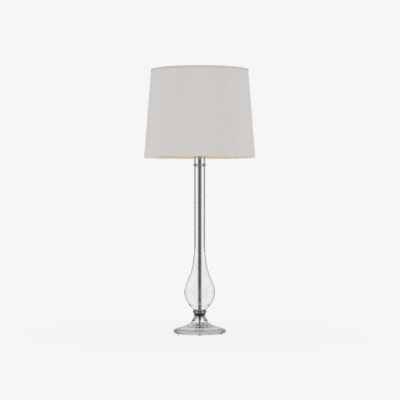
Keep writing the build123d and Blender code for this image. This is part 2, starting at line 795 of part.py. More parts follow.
def harp_stud():
    """Swivel stud: riveted shank in the harp's pad, flange for the shade, thread for the finial."""
    pad_bottom = harp_top - HARP_WIRE - SEAT_GAP
    flange_top = flange_bottom + STUD_FLANGE
    return lathe(
        (0, pad_bottom - STUD_HEAD),
        (STUD_HEAD_RADIUS - 0.6, pad_bottom - STUD_HEAD),
        (STUD_HEAD_RADIUS, pad_bottom - STUD_HEAD / 2),
        (STUD_HEAD_RADIUS, pad_bottom),
        (STUD_SHANK, pad_bottom),
        (STUD_SHANK, flange_bottom),
        (STUD_FLANGE_RADIUS, flange_bottom),
        (STUD_FLANGE_RADIUS, flange_top),
        (STUD_RADIUS, flange_top),
        (STUD_RADIUS, flange_top + STUD_THREAD - 0.5),
        (STUD_RADIUS - 0.5, flange_top + STUD_THREAD),
        (0, flange_top + STUD_THREAD),
    )


def finial():
    """Turned ball nut that holds the shade down."""
    low = hub_top + SEAT_GAP
    top = low + FINIAL_HEIGHT
    ball = top - FINIAL_BALL
    neck = low + 3.6
    bore = STUD_RADIUS + RUN_FIT
    depth = flange_bottom + STUD_FLANGE + STUD_THREAD + 0.5
    join = radians(-60)
    meet = (FINIAL_BALL * cos(join), ball + FINIAL_BALL * sin(join))
    base = Polyline((bore, low), (FINIAL_BASE_RADIUS, low), (FINIAL_BASE_RADIUS, low + 1.6))
    cove = Spline(base @ 1, (bore + 1.2, neck), meet, tangents=[(-1, 0.2), (0.7, 0.7)])
    dome = ThreePointArc(cove @ 1, (FINIAL_BALL, ball), (0, top))
    hole = Polyline(dome @ 1, (0, depth), (bore, depth), (bore, low))
    return turned(base, cove, dome, hole)


# --- Shade ----------------------------------------------------------------------------------
def shade_cloth():
    """Woven cloth laminated to the lining."""
    return cone_band(TRIM, CLOTH, shade_bottom + TRIM, shade_top - TRIM)


def shade_lining():
    """Stiff lining that gives the shade its shape."""
    return cone_band(TRIM + CLOTH, LINING, shade_bottom + TRIM, shade_top - TRIM)


def rolled_trim(edge, up):
    """Cloth strip folded round one edge of the shade and its wire; up is +1 at the bottom."""
    wall = TRIM + CLOTH + LINING
    inside = wall + 2 * RING_WIRE + 2 * SLIP_FIT
    tall, short = edge + up * TRIM_HEIGHT, edge + up * HEM_HEIGHT
    fold = edge + up * TRIM
    points = [
        (shade_radius(edge), edge),
        (shade_radius(tall), tall),
        (shade_radius(tall, TRIM), tall),
        (shade_radius(fold, TRIM), fold),
        (shade_radius(fold, inside), fold),
        (shade_radius(short, inside), short),
        (shade_radius(short, inside + TRIM), short),
        (shade_radius(edge, inside + TRIM), edge),
    ]
    return lathe(*points)


def top_trim():
    """Upper trim, nicked where the spider's arms come through its hem."""
    inside = TRIM + CLOTH + LINING + 2 * RING_WIRE + 2 * SLIP_FIT
    middle = shade_radius(shade_top, inside + TRIM / 2)
    nick = Pos(middle, 0, shade_top - TRIM - 0.1) * Box(
        2, 2 * SPIDER_WIRE + 0.8, HEM_HEIGHT, align=(Align.CENTER, Align.CENTER, Align.MAX)
    )
    return rolled_trim(shade_top, -1) - around(SPIDER_ARMS, nick, start=90)


def ring_place(edge, up):
    """Radius and height of the middle of the wire inside one rolled edge."""
    level = edge + up * (TRIM + RING_WIRE + SLIP_FIT)
    return shade_radius(level, TRIM + CLOTH + LINING + RING_WIRE + SLIP_FIT), level


def bottom_ring():
    """Wire ring inside the bottom edge."""
    radius, level = ring_place(shade_bottom, 1)
    return Pos(0, 0, level) * Torus(radius, RING_WIRE)


def shade_spider():
    """Top ring, three dropped arms and the washer that sits on the harp's stud."""
    radius, level = ring_place(shade_top, -1)
    path = FilletPolyline(
        (SPIDER_HUB_RADIUS - 1.5, 0, hub_middle),
        (radius - SPIDER_RISE, 0, hub_middle),
        (radius, 0, level),
        radius=12,
    )
    arms = around(SPIDER_ARMS, wire(path, SPIDER_WIRE), start=90)
    hub = ring(SPIDER_HUB_RADIUS, 0, hub_bottom, hub_top)
    spider = Pos(0, 0, level) * Torus(radius, RING_WIRE) + arms
    spider -= ring(radius + 4 * RING_WIRE, radius + RING_WIRE, level - 9, level + 9)
    spider -= ring(SPIDER_HUB_RADIUS, 0, hub_top, hub_top + SPIDER_WIRE)
    spider -= ring(SPIDER_HUB_RADIUS, 0, hub_bottom - SPIDER_WIRE, hub_bottom)
    hole = ring(STUD_RADIUS + 4 * SLIP_FIT, 0, hub_bottom - 1, hub_top + 1)
    return spider + hub - hole


# --- Cord -----------------------------------------------------------------------------------
def along_notch(distance, height):
    """Point over the line from the stem to the notch."""
    turn = radians(NOTCH_AZIMUTH)
    return (distance * cos(turn), distance * sin(turn), height)


def smooth_path(points):
    """Straight runs joined by tangent arcs as large as the runs allow; prints the radii."""
    vectors = [Vector(*point) for point in points]
    runs = [(b - a).length for a, b in zip(vectors, vectors[1:])]
    radii = []
    for k in range(1, len(vectors) - 1):
        turn = (vectors[k] - vectors[k - 1]).get_angle(vectors[k + 1] - vectors[k])
        radii.append(0.45 * min(runs[k - 1], runs[k]) / tan(radians(turn) / 2))
    print("bend radii", [round(radius, 1) for radius in radii])
    return FilletPolyline(*points, radius=radii)


def coil_start():
    """Where the cord joins the outermost turn, at the right of the coil."""
    lead = COIL_CENTRE[1] - 2 * CORD_RADIUS
    return (COIL_CENTRE[0] + COIL_RADIUS, lead, CORD_RADIUS + COIL_LIFT)


def run_points():
    """The cord's way from the cone nut, over a small hump, out of the notch and to the coil."""
    x, y, z = coil_start()
    return [
        (0, 0, cord_outlet),
        (0, 0, 37.0),
        (0, -1.6, 29.9),
        (0.2, -2.6, 24.2),
        (2.5, 0.1, 19.6),
        (6.1, 4.9, 19.3),
        (8.6, 8.0, 23.4),
        (9.7, 8.7, 28.6),
        (12.2, 7.8, 33.0),
        (16.6, 5.9, 34.4),
        (20.8, 4.0, 32.5),
        (23.8, 3.1, 28.3),
        (26.8, 3.6, 24.1),
        (29.9, 6.6, 20.2),
        (32.3, 13.0, 16.8),
        (33.2, 22.6, 13.8),
        (31.8, 34.6, 11.2),
        (28.8, 46.6, 8.8),
        (26.0, 57.4, 7.2),
        along_notch(70.5, 5.5),
        along_notch(81.5, 4.3),
        along_notch(92.5, 3.3),
        (40.4, 96.6, 2.9),
        (44.5, 108.0, 3.0),
        (x, y - 10.8, z),
        (x, y, z),
    ]


def cord_run():
    """Free cord between the cone nut and the coil."""
    path = smooth_path(run_points())
    tube = wire(path, CORD_RADIUS)
    print("run length", round(path.length, 1), "volume ratio",
          round(tube.volume / (pi * CORD_RADIUS**2 * path.length), 4))
    return tube


def coil_edges():
    """Half turns that spiral in, climb a layer in one half turn and spiral out again."""
    x, y, level = coil_start()
    straight = COIL_CENTRE[1] - y
    y = COIL_CENTRE[1]
    radius = COIL_RADIUS
    step = COIL_PITCH / 2
    side = 1  # +1 for a half turn behind the coil's middle, from right to left
    edges = [Line((x, y - straight, level), (x, y, level))]
    for _ in range(COIL_HALF_TURNS_IN):
        edges.append(half_turn(x, y, level, radius, side))
        x -= side * 2 * radius
        radius -= step
        side = -side
    rise = COIL_LAYER / 2
    reach = sqrt(radius**2 + rise**2)
    crest = (x - side * radius, y + side * reach, level + rise)
    first = TangentArc((x, y, level), crest, tangent=(0, side, 0))
    edges.append(first)
    x -= side * 2 * radius
    level += COIL_LAYER
    edges.append(TangentArc(crest, (x, y, level), tangent=first % 1))
    side = -side
    for _ in range(COIL_HALF_TURNS_OUT):
        radius += step
        edges.append(half_turn(x, y, level, radius, side))
        x -= side * 2 * radius
        side = -side
    edges.append(Line((x, y, level), (x, y + side * straight, level)))
    return edges


def half_turn(x, y, level, radius, side):
    """Flat half circle that starts along the Y axis."""
    return ThreePointArc(
        (x, y, level),
        (x - side * radius, y + side * radius, level),
        (x - side * 2 * radius, y, level),
    )


def least_gap(path, samples=1600, near=30.0):
    """Smallest gap of a tube to itself, between places over a set length apart."""
    points = [path @ (k / samples) for k in range(samples + 1)]
    skip = max(1, round(near / path.length * samples))
    best = 1e9
    for k in range(0, len(points) - skip, 2):
        for other in range(k + skip, len(points), 3):
            best = min(best, (points[k] - points[other]).length)
    return best - 2 * CORD_RADIUS


def cord_coil():
    """The stored length, wound in two layers."""
    path = Wire(coil_edges())
    print("coil length", round(path.length, 1), "least gap", round(least_gap(path), 2))
    start = Plane(origin=path @ 0, z_dir=path % 0, x_dir=(0, 0, 1))
    section = Rot(0, 0, 180 / CORD_SIDES) * RegularPolygon(
        CORD_RADIUS, CORD_SIDES, major_radius=False
    )
    return sweep(start * section, path=path)


def coil_end():
    """Where the cord leaves the upper layer, at the left of the coil."""
    end = Wire(coil_edges()) @ 1
    return (end.X, end.Y, end.Z)


def plug_start():
    """Where the cord enters the plug's strain relief, over the near side of the coil."""
    top = 2 * CORD_RADIUS + COIL_LIFT + COIL_LAYER
    return (COIL_CENTRE[0] - 14.5, COIL_CENTRE[1] - 31.0, top + 0.3 + PLUG_THICKNESS / 2)


def tail_points():
    """The cord's end, climbing over the coil to the plug."""
    x, y, z = coil_end()
    end_x, end_y, end_z = plug_start()
    return [
        (x, y, z),
        (x, y - 5.5, z),
        (x + 0.9, y - 11.6, z + 1.4),
        (x + 3.6, y - 17.2, z + 3.6),
        (x + 8.2, y - 21.6, z + 5.8),
        (x + 13.8, y - 24.4, z + 7.6),
        (end_x - 6.0, end_y, end_z),
        (end_x, end_y, end_z),
    ]


def cord_tail():
    """Free cord between the coil and the plug."""
    path = smooth_path(tail_points())
    print("tail length", round(path.length, 1))
    return wire(path, CORD_RADIUS)


def coil_tie():
    """Flat band round all the turns, at the back of the coil."""
    turns = max(COIL_HALF_TURNS_IN, COIL_HALF_TURNS_OUT)
    inner = COIL_RADIUS - turns * COIL_PITCH / 2 - CORD_RADIUS
    width = COIL_RADIUS + CORD_RADIUS - inner + 4.4
    low = COIL_LIFT - TIE_THICKNESS - 0.1
    height = 2 * CORD_RADIUS + COIL_LAYER + 2 * TIE_THICKNESS + 0.3
    band = RectangleRounded(width, height, 3) - RectangleRounded(
        width - 2 * TIE_THICKNESS, height - 2 * TIE_THICKNESS, 3 - TIE_THICKNESS
    )
    place = Plane.XZ * Pos(COIL_RADIUS + CORD_RADIUS - width / 2 + 1.2, low + height / 2)
    solid = extrude(place * band, amount=TIE_WIDTH / 2, both=True)
    return Pos(*COIL_CENTRE, 0) * Rot(0, 0, TIE_AZIMUTH) * solid


def plug_body():
    """Moulded flat plug with a tapered, ribbed strain relief."""
    x, y, z = plug_start()
    relief = Plane(origin=(x, y, z), z_dir=(1, 0, 0))
    ends = (Circle(RELIEF_RADIUS - 1), Circle(RELIEF_RADIUS))
    cone = loft([relief * ends[0], relief.offset(RELIEF_LENGTH) * ends[1]])
    collar = Circle(RELIEF_RADIUS + 1) - Circle(RELIEF_RADIUS - 0.9)
    for k in range(3):
        cone -= extrude(relief.offset(2.0 + 2.8 * k) * collar, amount=1.2)
    face = Pos(x + RELIEF_LENGTH + PLUG_LENGTH / 2, y, z - PLUG_THICKNESS / 2)
    body = extrude(face * RectangleRounded(PLUG_LENGTH, PLUG_WIDTH, 5), amount=PLUG_THICKNESS)
    body = fillet(body.edges().filter_by(GeomType.LINE).filter_by(Axis.Y), 1.2)
    return cone + body - blade_group()


def blade_group():
    """Two flat blades that pass into the plug's face."""
    x, y, z = plug_start()
    face = x + RELIEF_LENGTH + PLUG_LENGTH
    blades = []
    for side in (-1, 1):
        blade = Box(BLADE_LENGTH + 8, BLADE_THICKNESS, BLADE_WIDTH)
        blades.append(Pos(face + BLADE_LENGTH / 2 - 4, y + side * BLADE_SPACING / 2, z) * blade)
    return Compound(children=blades)


def plug_blades():
    """The two blades with the hole that such blades have."""
    x, y, z = plug_start()
    hole_x = x + RELIEF_LENGTH + PLUG_LENGTH + BLADE_LENGTH - 4
    hole = rod((hole_x, y - PLUG_WIDTH, z), (hole_x, y + PLUG_WIDTH, z), 1.5)
    return [blade - hole for blade in blade_group().children]


def parts():
    """Every sub-part by its node's name."""
    return {
        "bumper_feet": bumper_feet(),
        "glass_foot": glass_foot(),
        "cord_grommet": cord_grommet(),
        "cone_nut": cone_nut(),
        "steel_washer": steel_washer(),
        "rubber_washer": rubber_washer(),
        "foot_gasket": foot_gasket(),
        "waist_bushing": waist_bushing(),
        "glass_body": glass_body(),
        "column_tube": column_tube(),
        "threaded_pipe": threaded_pipe(),
        "neck_gasket": neck_gasket(),
        "neck_cap": neck_cap(),
        "check_nut": check_nut(),
        "harp_saddle": harp_saddle(),
        "socket_cap": socket_cap(),
        "socket_set_screw": socket_set_screw(),
        "socket_shell": socket_shell(),
        "socket_liner": socket_liner(),
        "socket_core": socket_core(),
        "screw_shell": screw_shell(),
        "centre_contact": centre_contact(),
        "terminal_screws": terminal_screws(),
        "socket_leads": socket_leads(),
        "stem_cord": stem_cord(),
        "switch_shaft": switch_shaft(),
        "key_knob": key_knob(),
        "bulb_glass": bulb_glass(),
        "bulb_base": bulb_base(),
        "bulb_insulator": bulb_insulator(),
        "bulb_contact": bulb_contact(),
        "bulb_stem": bulb_stem(),
        "harp": harp(),
        "ferrule_right": ferrule(1),
        "ferrule_left": ferrule(-1),
        "harp_stud": harp_stud(),
        "finial": finial(),
        "shade_cloth": shade_cloth(),
        "shade_lining": shade_lining(),
        "shade_spider": shade_spider(),
        "shade_bottom_ring": bottom_ring(),
        "shade_top_trim": top_trim(),
        "shade_bottom_trim": rolled_trim(shade_bottom, 1),
        "cord_run": cord_run(),
        "cord_coil": cord_coil(),
        "cord_tail": cord_tail(),
        "cord_tie": coil_tie(),
        "plug_body": plug_body(),
        "plug_blades": plug_blades(),
    }


def write(name, shape):
    """One STEP file for a node, as one solid or a group of solids."""
    solids = []
    for piece in shape if isinstance(shape, list) else [shape]:
        solids.extend(piece.solids())
    whole = solids[0] if len(solids) == 1 else Compound(children=solids)
    export_step(whole, os.path.join("parts", name + ".step"))


os.makedirs("parts", exist_ok=True)
for node, piece in parts().items():
    write(node, piece)
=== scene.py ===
"""Candlestick lamp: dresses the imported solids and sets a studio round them.

Lengths are metres, in the frame of the solids: the foot's middle on the table is the origin,
+Z is up and -Y is the front.
"""

import json

import bpy
import numpy as np
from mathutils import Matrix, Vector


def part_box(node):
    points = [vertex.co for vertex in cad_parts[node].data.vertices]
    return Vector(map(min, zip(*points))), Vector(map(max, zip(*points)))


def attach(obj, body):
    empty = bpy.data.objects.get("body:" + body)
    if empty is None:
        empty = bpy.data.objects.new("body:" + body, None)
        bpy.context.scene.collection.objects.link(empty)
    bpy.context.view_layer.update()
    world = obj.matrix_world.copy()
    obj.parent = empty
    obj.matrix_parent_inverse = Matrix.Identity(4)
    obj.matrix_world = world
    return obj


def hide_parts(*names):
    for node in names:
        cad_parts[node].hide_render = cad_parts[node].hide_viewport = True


bl_info = {
    "name": "Candlestick lamp",
    "version": (1, 0, 0),
    "blender": (4, 5, 0),
    "location": "View3D > Sidebar > Lamp",
    "description": "Blown glass table lamp with a linen drum shade, in a pale studio",
    "category": "Add Mesh",
}

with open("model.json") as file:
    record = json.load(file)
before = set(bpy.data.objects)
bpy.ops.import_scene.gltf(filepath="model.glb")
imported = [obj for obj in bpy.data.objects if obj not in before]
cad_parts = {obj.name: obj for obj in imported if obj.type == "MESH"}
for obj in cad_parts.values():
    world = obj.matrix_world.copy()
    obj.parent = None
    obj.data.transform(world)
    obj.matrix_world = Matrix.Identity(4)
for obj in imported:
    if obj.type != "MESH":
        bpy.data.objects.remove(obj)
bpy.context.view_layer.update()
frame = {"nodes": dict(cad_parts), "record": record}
RECORD = frame["record"]
BODY_OF = {node: body for body, nodes in RECORD["behaviour"]["bodies"].items() for node in nodes}

SHADE_MIDDLE_RADIUS = 0.166
CLOTH_LOW_RADIUS = 0.1771
CLOTH_HIGH_RADIUS = 0.1550
# The shade's outer cone carried down to the table, and what its radius loses per metre up
CONE_AT_TABLE = 0.2224
CONE_SLOPE = -0.0801
THREAD_REPEAT = 0.0011
CORD_TWISTS = 118


# --- Colours and nodes ------------------------------------------------------------------------
def hue(code):
    """Linear red, green, blue and alpha of an sRGB hex colour."""
    share = np.array([int(code[k : k + 2], 16) for k in (1, 3, 5)]) / 255
    linear = np.where(share <= 0.04045, share / 12.92, ((share + 0.055) / 1.055) ** 2.4)
    return (*linear.tolist(), 1.0)


def darker(code, share):
    """A hex colour's linear value with its light cut down to a share."""
    return tuple(share * part for part in hue(code)[:3]) + (1.0,)


def add(tree, kind, inputs=None, **settings):
    """One node; an input is a value, or another node's output to be joined to it."""
    made = tree.nodes.new(kind)
    for name, value in settings.items():
        setattr(made, name, value)
    for name, value in (inputs or {}).items():
        if isinstance(value, bpy.types.NodeSocket):
            tree.links.new(value, made.inputs[name])
        else:
            made.inputs[name].default_value = value
    return made


def maths(tree, operation, first, second=0.0, third=0.0):
    """Output of one sum."""
    inputs = {0: first, 1: second, 2: third}
    return add(tree, "ShaderNodeMath", inputs, operation=operation).outputs[0]


def blend(tree, share, low, high):
    """Output of a mix of two colours."""
    made = add(tree, "ShaderNodeMix", data_type="RGBA")
    for socket, value in (("Factor_Float", share), ("A_Color", low), ("B_Color", high)):
        target = next(entry for entry in made.inputs if entry.identifier == socket)
        if isinstance(value, bpy.types.NodeSocket):
            tree.links.new(value, target)
        else:
            target.default_value = value
    return next(entry for entry in made.outputs if entry.identifier == "Result_Color")


def ramp(tree, share, low, high, start=0.0, end=1.0):
    """Output that runs smoothly from low to high while share runs from start to end."""
    inputs = {"Value": share, "From Min": low, "From Max": high, "To Min": start, "To Max": end}
    return add(
        tree, "ShaderNodeMapRange", inputs, interpolation_type="SMOOTHSTEP"
    ).outputs["Result"]


def new_material(name):
    """Empty material with its tree and output."""
    material = bpy.data.materials.new(name)
    material.use_nodes = True
    tree = material.node_tree
    tree.nodes.clear()
    return material, tree, add(tree, "ShaderNodeOutputMaterial")


def coated(tree, output, inputs):
    """Joins a Principled shader with these inputs to the output."""
    shader = add(tree, "ShaderNodeBsdfPrincipled", inputs)
    tree.links.new(shader.outputs[0], output.inputs["Surface"])


def stretched(tree, vector, scale):
    """Output of a vector, stretched."""
    return add(tree, "ShaderNodeMapping", {"Vector": vector, "Scale": scale}).outputs["Vector"]


def place(tree, scale=(1, 1, 1)):
    """Object coordinates, stretched."""
    return stretched(tree, add(tree, "ShaderNodeTexCoord").outputs["Object"], scale)


def parts_of(tree, coordinates):
    """X, Y and Z of Object, UV or Generated coordinates."""
    source = add(tree, "ShaderNodeTexCoord").outputs[coordinates]
    return add(tree, "ShaderNodeSeparateXYZ", {0: source}).outputs


def noise(tree, vector, scale, detail=3.0, roughness=0.5):
    """Soft noise, scale in lumps a metre."""
    inputs = {"Vector": vector, "Scale": scale, "Detail": detail, "Roughness": roughness}
    return add(tree, "ShaderNodeTexNoise", inputs).outputs["Fac"]


def bump(tree, height, distance, strength=1.0):
    """Normal raised by height times distance."""
    inputs = {"Height": height, "Distance": distance, "Strength": strength}
    return add(tree, "ShaderNodeBump", inputs).outputs["Normal"]


# --- Materials --------------------------------------------------------------------------------
def height_tone(tree, stops):
    """Colour by height: stops pair metres above the table with a hex colour, in straight runs."""
    low, high = stops[0][0], stops[-1][0]
    inputs = {"Value": parts_of(tree, "Object")["Z"], "From Min": low, "From Max": high}
    share = add(tree, "ShaderNodeMapRange", inputs).outputs["Result"]
    tones = add(tree, "ShaderNodeValToRGB", {"Fac": share})
    points = tones.color_ramp.elements
    while len(points) < len(stops):
        points.new(0.5)
    for point, (height, code) in zip(points, stops):
        point.position = (height - low) / (high - low)
        point.color = hue(code)
    return tones.outputs["Color"]


def blown_glass(name, body, edge, rings=None, wave=0.00005):
    """Clear glass; slow waves of the blowing bend what is behind, and skimmed edges go grey.

    The grey of skimmed edges is painted shade, and both colours follow the height with painted
    shade: dark bands and lines stand for what refraction throws in the rim, the flanks, the rings
    and the neck. body is the glass seen square on, edge is the glass seen along its skin, and
    rings paints the rings' dark ends.
    """
    material, tree, output = new_material(name)
    facing = add(tree, "ShaderNodeLayerWeight", {"Blend": 0.5}).outputs["Facing"]
    colour = blend(
        tree, ramp(tree, facing, 0.38, 0.7), height_tone(tree, body), height_tone(tree, edge)
    )
    # painted shade: where the ring stops allow it, skimmed edges go near black for the rings' dark
    # ends
    if rings:
        painted_ring_shade = maths(tree, "MULTIPLY", ramp(tree, facing, 0.08, 0.27), height_tone(tree, rings))
        colour = blend(tree, painted_ring_shade, colour, hue("#0E0F0F"))
    waves = noise(tree, place(tree, (1, 1, 0.35)), 45.0, 1.0)
    glass = add(
        tree,
        "ShaderNodeBsdfPrincipled",
        {
            "Base Color": colour,
            "Roughness": 0.0,
            "IOR": 1.5,
            "Transmission Weight": 1.0,
            "Normal": bump(tree, waves, wave),
        },
    )
    path = add(tree, "ShaderNodeLightPath").outputs
    through = maths(tree, "MAXIMUM", path["Is Shadow Ray"], path["Is Diffuse Ray"])
    clear = add(tree, "ShaderNodeBsdfTransparent", {"Color": hue("#F6F7F7")})
    mixed = add(
        tree, "ShaderNodeMixShader", {0: through, 1: glass.outputs[0], 2: clear.outputs[0]}
    )
    tree.links.new(mixed.outputs[0], output.inputs["Surface"])
    return material


def bright_metal(name, code, roughness, grain=0.06):
    """Plated metal; fine polishing grain breaks the reflections a little."""
    material, tree, output = new_material(name)
    lines = noise(tree, place(tree), 900.0, 4.0)
    smear = noise(tree, place(tree), 60.0, 2.0)
    coated(tree, output, {
        "Base Color": hue(code),
        "Metallic": 1.0,
        "Roughness": ramp(tree, smear, 0.3, 0.7, roughness * 0.75, roughness * 1.35),
        "Normal": bump(tree, lines, 0.00001, grain),
    })
    return material


def plain_plastic(name, code, roughness, coat=0.0, lumps=0.00003):
    """Moulded plastic or rubber; a faint orange peel and mottled gloss."""
    material, tree, output = new_material(name)
    peel = noise(tree, place(tree), 500.0, 2.0)
    wear = noise(tree, place(tree), 90.0, 3.0)
    coated(tree, output, {
        "Base Color": blend(tree, ramp(tree, wear, 0.35, 0.7), darker(code, 0.86), hue(code)),
        "Roughness": ramp(tree, wear, 0.3, 0.7, roughness * 0.8, roughness * 1.2),
        "Coat Weight": coat,
        "Normal": bump(tree, peel, lumps),
    })
    return material


def round_the_shade(tree):
    """Distance round the shade and height, in metres, and the two as one flat vector."""
    parts = parts_of(tree, "Object")
    angle = maths(tree, "ARCTAN2", parts["Y"], parts["X"])
    along = maths(tree, "MULTIPLY", angle, SHADE_MIDDLE_RADIUS)
    flat = add(tree, "ShaderNodeCombineXYZ", {"X": along, "Z": parts["Z"]}).outputs[0]
    return along, parts["Z"], flat


def woven_linen(name, light, dark, turned_in=None):
    """Plain weave; each thread shades its own flank, and thick slubs run along some threads.

    turned_in is the colour of the tape on a hem's inner leg, which lies under the cloth's cone.
    """
    material, tree, output = new_material(name)
    along, up, flat = round_the_shade(tree)
    turns = 2 * np.pi / THREAD_REPEAT
    warp = maths(tree, "SINE", maths(tree, "MULTIPLY", along, turns))
    weft = maths(tree, "SINE", maths(tree, "MULTIPLY", up, turns))
    cross = maths(tree, "MULTIPLY", warp, weft)
    across = noise(tree, stretched(tree, flat, (30, 1, 900)), 1.0, 1.0)
    upward = noise(tree, stretched(tree, flat, (900, 1, 22)), 1.0, 1.0)
    slubs = maths(
        tree, "ADD", ramp(tree, across, 0.45, 0.75), ramp(tree, upward, 0.45, 0.75)
    )
    height = maths(tree, "MULTIPLY_ADD", cross, 0.35, maths(tree, "MULTIPLY", slubs, 0.25))
    shade = maths(tree, "MULTIPLY_ADD", slubs, 0.13, ramp(tree, cross, -1.0, 1.0, 0.23, 0.68))
    cloth_colour = blend(tree, shade, hue(dark), hue(light))
    if turned_in:
        spot = add(tree, "ShaderNodeTexCoord").outputs["Object"]
        level = add(tree, "ShaderNodeVectorMath", {0: spot, 1: (1, 1, 0)}, operation="MULTIPLY")
        reach = add(tree, "ShaderNodeVectorMath", {0: level.outputs[0]}, operation="LENGTH")
        cone = maths(tree, "MULTIPLY_ADD", up, CONE_SLOPE, CONE_AT_TABLE)
        depth = maths(tree, "SUBTRACT", cone, reach.outputs["Value"])
        inner = ramp(tree, depth, 0.0006, 0.0012)
        cloth_colour = blend(tree, inner, cloth_colour, hue(turned_in))
    coated(tree, output, {
        "Base Color": cloth_colour,
        "Roughness": 0.85,
        "Specular IOR Level": 0.2,
        "Normal": bump(tree, height, 0.00012),
    })
    return material


def warm_lining(code="#F8ECDA"):
    """Calendered sheet; a faint vertical mottle keeps it from looking like paint."""
    material, tree, output = new_material("warm_styrene_lining")
    flat = round_the_shade(tree)[2]
    mottle = noise(tree, stretched(tree, flat, (260, 1, 40)), 1.0)
    coated(tree, output, {
        "Base Color": blend(tree, ramp(tree, mottle, 0.35, 0.65), darker(code, 0.93), hue(code)),
        "Roughness": 0.5,
        "Normal": bump(tree, mottle, 0.00004),
    })
    return material


def silver_cord(light="#DCDDDB", shade_near_nut="#7E7F7D"):
    """Tinned strands twisted under a clear jacket: faint slanted bands, bright to the side.

    The first 3 to 4 cm are painted darker, a painted shade where the cord hangs from the nut
    inside the foot. U runs from 0 to 1 along the cord and V round it.
    """
    material, tree, output = new_material("silver_cord_painted_shade_at_nut")
    parts = parts_of(tree, "UV")
    turns = maths(tree, "MULTIPLY", parts["X"], 2 * np.pi * CORD_TWISTS)
    around = maths(tree, "MULTIPLY", parts["Y"], 4 * np.pi)
    bands = maths(tree, "SINE", maths(tree, "ADD", turns, around))
    clear = blend(tree, ramp(tree, bands, -1.0, 0.0), darker(light, 0.7), hue(light))
    coated(tree, output, {
        # painted shade: the cord's first centimetres below the nut are coloured darker
        "Base Color": blend(tree, ramp(tree, parts["X"], 0.015, 0.023), hue(shade_near_nut), clear),
        "Metallic": 0.4,
        "Roughness": 0.3,
        "Coat Weight": 1.0,
        "Coat Roughness": 0.08,
        "Normal": bump(tree, bands, 0.00025, 0.35),
    })
    return material


def frosted_glass():
    """Inside-frosted envelope: milky, with a glassy outside."""
    material, tree, output = new_material("frosted_bulb_glass")
    cloud = noise(tree, place(tree), 140.0, 2.0)
    coated(tree, output, {
        "Base Color": blend(tree, cloud, hue("#EDEBE4"), hue("#FAF9F5")),
        "Roughness": 0.35,
        "Transmission Weight": 0.25,
        "Coat Weight": 0.8,
        "Coat Roughness": 0.04,
    })
    return material


# --- Meshes -----------------------------------------------------------------------------------
def grid(name, points, closed_u, closed_v):
    """Surface through a grid of points (rows u, columns v); an open end is shut by a fan.

    The four corners of each cell are found by rolling the index grid one step along u and v, so
    the whole mesh is one array. A fan joins an open end's ring to its middle point.
    """
    rows, columns = points.shape[:2]
    index = np.arange(rows * columns).reshape(rows, columns)
    right = np.roll(index, -1, 1) if closed_v else index[:, 1:]
    cut = slice(None) if closed_v else slice(None, -1)
    below = np.roll(index, -1, 0) if closed_u else index[1:]
    lines = slice(None) if closed_u else slice(None, -1)
    below_right = np.roll(right, -1, 0) if closed_u else right[1:]
    quads = np.stack([index[lines, cut], right[lines], below_right, below[:, cut]], -1)
    vertices = points.reshape(-1, 3)
    faces = quads.reshape(-1, 4).tolist()
    if closed_v and not closed_u:
        for ring in (index[0, ::-1], index[-1]):
            middle = len(vertices)
            vertices = np.vstack([vertices, vertices[ring].mean(0)])
            ends = np.stack([ring, np.roll(ring, -1), np.full_like(ring, middle)], -1)
            faces += ends.tolist()
    mesh = bpy.data.meshes.new(name)
    mesh.from_pydata(vertices.tolist(), [], faces)
    mesh.validate()
    mesh.shade_smooth()
    piece = bpy.data.objects.new(name, mesh)
    bpy.context.scene.collection.objects.link(piece)
    return piece


def polished_copy(node):
    """Copy of a solid's mesh with its corners joined, so that its light runs smoothly.

    Equal corners are found as equal rows of rounded coordinates, and edges that turn by more
    than 32 degrees stay sharp.
    """
    source = frame["nodes"][node].data
    corners = np.empty(len(source.vertices) * 3)
    source.vertices.foreach_get("co", corners)
    loops = np.empty(len(source.loops), dtype=np.int32)
    source.loops.foreach_get("vertex_index", loops)
    keys = np.round(corners.reshape(-1, 3) / 2e-6).astype(np.int64)
    _, first, back = np.unique(keys, axis=0, return_index=True, return_inverse=True)
    triangles = back.reshape(-1)[loops].reshape(-1, 3)
    a, b, c = triangles.T
    triangles = triangles[(a != b) & (b != c) & (c != a)]
    mesh = bpy.data.meshes.new(node + "_smooth")
    mesh.from_pydata(corners.reshape(-1, 3)[first].tolist(), [], triangles.tolist())
    mesh.shade_smooth()
    mesh.set_sharp_from_angle(angle=np.radians(32.0))
    piece = bpy.data.objects.new(node + "_smooth", mesh)
    bpy.context.scene.collection.objects.link(piece)
    stand_for(piece, node)
    return piece


def stand_for(piece, *nodes):
    """The piece takes the place and the body of these solids."""
    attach(piece, BODY_OF[nodes[0]])
    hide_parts(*nodes)


def finish(piece, material):
    """Puts one material on a piece."""
    piece.data.materials.clear()
    piece.data.materials.append(material)


def dress(material, *nodes):
    """Puts a material on solids that keep their own mesh."""
    for node in nodes:
        for slot in frame["nodes"][node].material_slots:
            slot.link = "OBJECT"
            slot.material = material


def dress_smooth(material, *nodes):
    """Puts a material on smooth copies of solids."""
    for node in nodes:
        finish(polished_copy(node), material)


# --- Settings ---------------------------------------------------------------------------------
class LampSettings(bpy.types.PropertyGroup):
    """Sizes and colours that a user may change before the pieces are made."""

    cloth: bpy.props.StringProperty(
        name="Linen", description="Light thread of the shade's linen", default="#DEDAD6"
    )
    cord_diameter: bpy.props.FloatProperty(
        name="Cord diameter", description="Outside of the jacket", default=0.0056, unit="LENGTH"
    )
    cord_length: bpy.props.FloatProperty(
        name="Cord length", description="From the cone nut to the plug", default=1.834,
        unit="LENGTH",
    )
    thread_pitch: bpy.props.FloatProperty(
        name="Thread pitch", description="Rise of the bulb's thread in a turn", default=0.00363,
        unit="LENGTH",
    )
    eye_height: bpy.props.FloatProperty(
        name="Eye height", description="Camera above the table", default=0.4384, unit="LENGTH"
    )
    eye_distance: bpy.props.FloatProperty(
        name="Eye distance", description="Camera from the lamp's axis", default=4.432,
        unit="LENGTH",
    )
    backdrop: bpy.props.StringProperty(
        name="Backdrop", description="Colour behind and under the lamp", default="#F6F6F6"
    )
